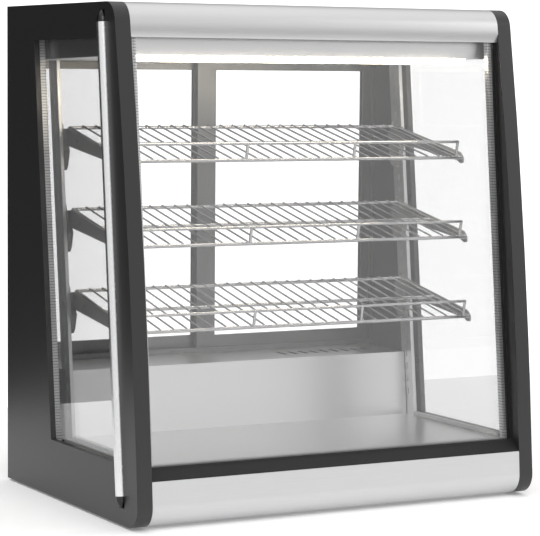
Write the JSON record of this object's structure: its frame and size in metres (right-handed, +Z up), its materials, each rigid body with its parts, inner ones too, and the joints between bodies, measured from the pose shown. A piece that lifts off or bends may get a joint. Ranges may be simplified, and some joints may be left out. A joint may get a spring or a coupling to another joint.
{
  "type": "refrigerated countertop display case",
  "caption": "Countertop bakery display case with a slanted double-glazed front, glazed sides, tilted wire shelves, sliding rear doors and a cooling unit in the base.",
  "frame": {"origin": "middle of the footprint, on the counter", "axes": "+X to the right seen from the customer side, +Y to the rear with the sliding doors, +Z up"},
  "size_m": [0.636, 0.448, 0.69],
  "materials": {
    "frame_black": "satin",
    "trim_aluminium": "satin",
    "extrusion": "satin",
    "cap_plastic": "gloss",
    "cover_paint": "satin",
    "stainless": "brushed",
    "galvanised": "matt",
    "bracket_steel": "satin",
    "wire_chrome": "bright",
    "clear_glass": "clear",
    "spacer_aluminium": "matt",
    "gasket_rubber": "matt",
    "seal_rubber": "matt",
    "lamp_diffuser": "opal",
    "foam_shell": "matt",
    "door_aluminium": "satin",
    "nylon": "matt",
    "pull_plastic": "matt",
    "screw_steel": "bright",
    "control_plastic": "matt",
    "display": "gloss",
    "button_plastic": "matt",
    "rocker_plastic": "gloss",
    "compressor_paint": "painted",
    "fin_aluminium": "matt",
    "motor_steel": "satin",
    "fan_plastic": "matt"
  },
  "bodies": {
    "cabinet": {"side_frame_left": "frame_black", "side_frame_right": "frame_black", "trim_tube_left": "trim_aluminium", "trim_tube_right": "trim_aluminium", "trim_end_caps": "cap_plastic", "canopy": "extrusion", "bumper": "extrusion", "top_panel": "cover_paint", "ceiling_tray": "stainless", "led_lamp": "lamp_diffuser", "insulated_floor": "foam_shell", "deck_panel": "stainless", "deck_seals": "seal_rubber", "evaporator_cover": "stainless", "base_pan": "galvanised", "feet": "gasket_rubber", "pilasters": "galvanised", "door_track_bottom": "door_aluminium", "door_track_top": "door_aluminium", "door_jambs": "door_aluminium", "rear_grille": "cover_paint", "rear_screws": "screw_steel", "control_housing": "control_plastic", "display_window": "display", "switch_plate": "control_plastic", "cable_gland": "control_plastic", "compressor": "compressor_paint", "condenser_coil": "fin_aluminium", "evaporator_coil": "fin_aluminium", "side_glass_outer": "clear_glass", "side_glass_inner": "clear_glass", "side_glass_spacers": "spacer_aluminium", "side_glass_gaskets": "gasket_rubber", "front_glass_outer": "clear_glass", "front_glass_inner": "clear_glass", "front_glass_spacer": "spacer_aluminium", "front_glass_gasket": "gasket_rubber", "brackets_top": "bracket_steel", "brackets_middle": "bracket_steel", "brackets_bottom": "bracket_steel", "condenser_fan_motor": "motor_steel", "evaporator_fan_motor": "motor_steel"},
    "door_left": {"door_left_frame": "door_aluminium", "door_left_glass": "clear_glass", "door_left_glides": "nylon", "door_left_pull": "pull_plastic"},
    "door_right": {"door_right_frame": "door_aluminium", "door_right_glass": "clear_glass", "door_right_glides": "nylon", "door_right_pull": "pull_plastic"},
    "shelf_top": {"shelf_top": "wire_chrome"},
    "shelf_middle": {"shelf_middle": "wire_chrome"},
    "shelf_bottom": {"shelf_bottom": "wire_chrome"},
    "condenser_fan": {"condenser_fan_blades": "fan_plastic"},
    "evaporator_fan": {"evaporator_fan_blades": "fan_plastic"},
    "power_switch": {"power_rocker": "rocker_plastic"},
    "light_switch": {"light_rocker": "rocker_plastic"},
    "button_set": {"button_set": "button_plastic"},
    "button_up": {"button_up": "button_plastic"},
    "button_down": {"button_down": "button_plastic"}
  },
  "joints": [
    {"name": "door_left_slide", "type": "slide", "parent": "cabinet", "child": "door_left", "axis": [1, 0, 0], "range_m": [0, 0.265]},
    {"name": "door_right_slide", "type": "slide", "parent": "cabinet", "child": "door_right", "axis": [-1, 0, 0], "range_m": [0, 0.26]},
    {"name": "shelf_top_lift", "type": "slide", "parent": "cabinet", "child": "shelf_top", "axis": [0, 0, 1], "range_m": [0, 0.05]},
    {"name": "shelf_middle_lift", "type": "slide", "parent": "cabinet", "child": "shelf_middle", "axis": [0, 0, 1], "range_m": [0, 0.05]},
    {"name": "shelf_bottom_lift", "type": "slide", "parent": "cabinet", "child": "shelf_bottom", "axis": [0, 0, 1], "range_m": [0, 0.05]},
    {"name": "condenser_fan_spin", "type": "hinge", "parent": "cabinet", "child": "condenser_fan", "pos_m": [-0.048, 0.17, 0.076], "axis": [0, 1, 0], "continuous": true},
    {"name": "evaporator_fan_spin", "type": "hinge", "parent": "cabinet", "child": "evaporator_fan", "pos_m": [0.177, 0.136, 0.124], "axis": [0, 1, 0], "continuous": true},
    {"name": "power_switch_rock", "type": "hinge", "parent": "cabinet", "child": "power_switch", "pos_m": [0.174, 0.217, 0.071], "axis": [1, 0, 0], "range_deg": [-14, 0]},
    {"name": "light_switch_rock", "type": "hinge", "parent": "cabinet", "child": "light_switch", "pos_m": [0.222, 0.217, 0.071], "axis": [1, 0, 0], "range_deg": [-14, 0]},
    {"name": "button_set_press", "type": "slide", "parent": "cabinet", "child": "button_set", "axis": [0, -1, 0], "range_m": [0, 0.0015], "stiffness_N_per_m": 300, "springref_m": -0.0005},
    {"name": "button_up_press", "type": "slide", "parent": "cabinet", "child": "button_up", "axis": [0, -1, 0], "range_m": [0, 0.0015], "stiffness_N_per_m": 300, "springref_m": -0.0005},
    {"name": "button_down_press", "type": "slide", "parent": "cabinet", "child": "button_down", "axis": [0, -1, 0], "range_m": [0, 0.0015], "stiffness_N_per_m": 300, "springref_m": -0.0005}
  ]
}
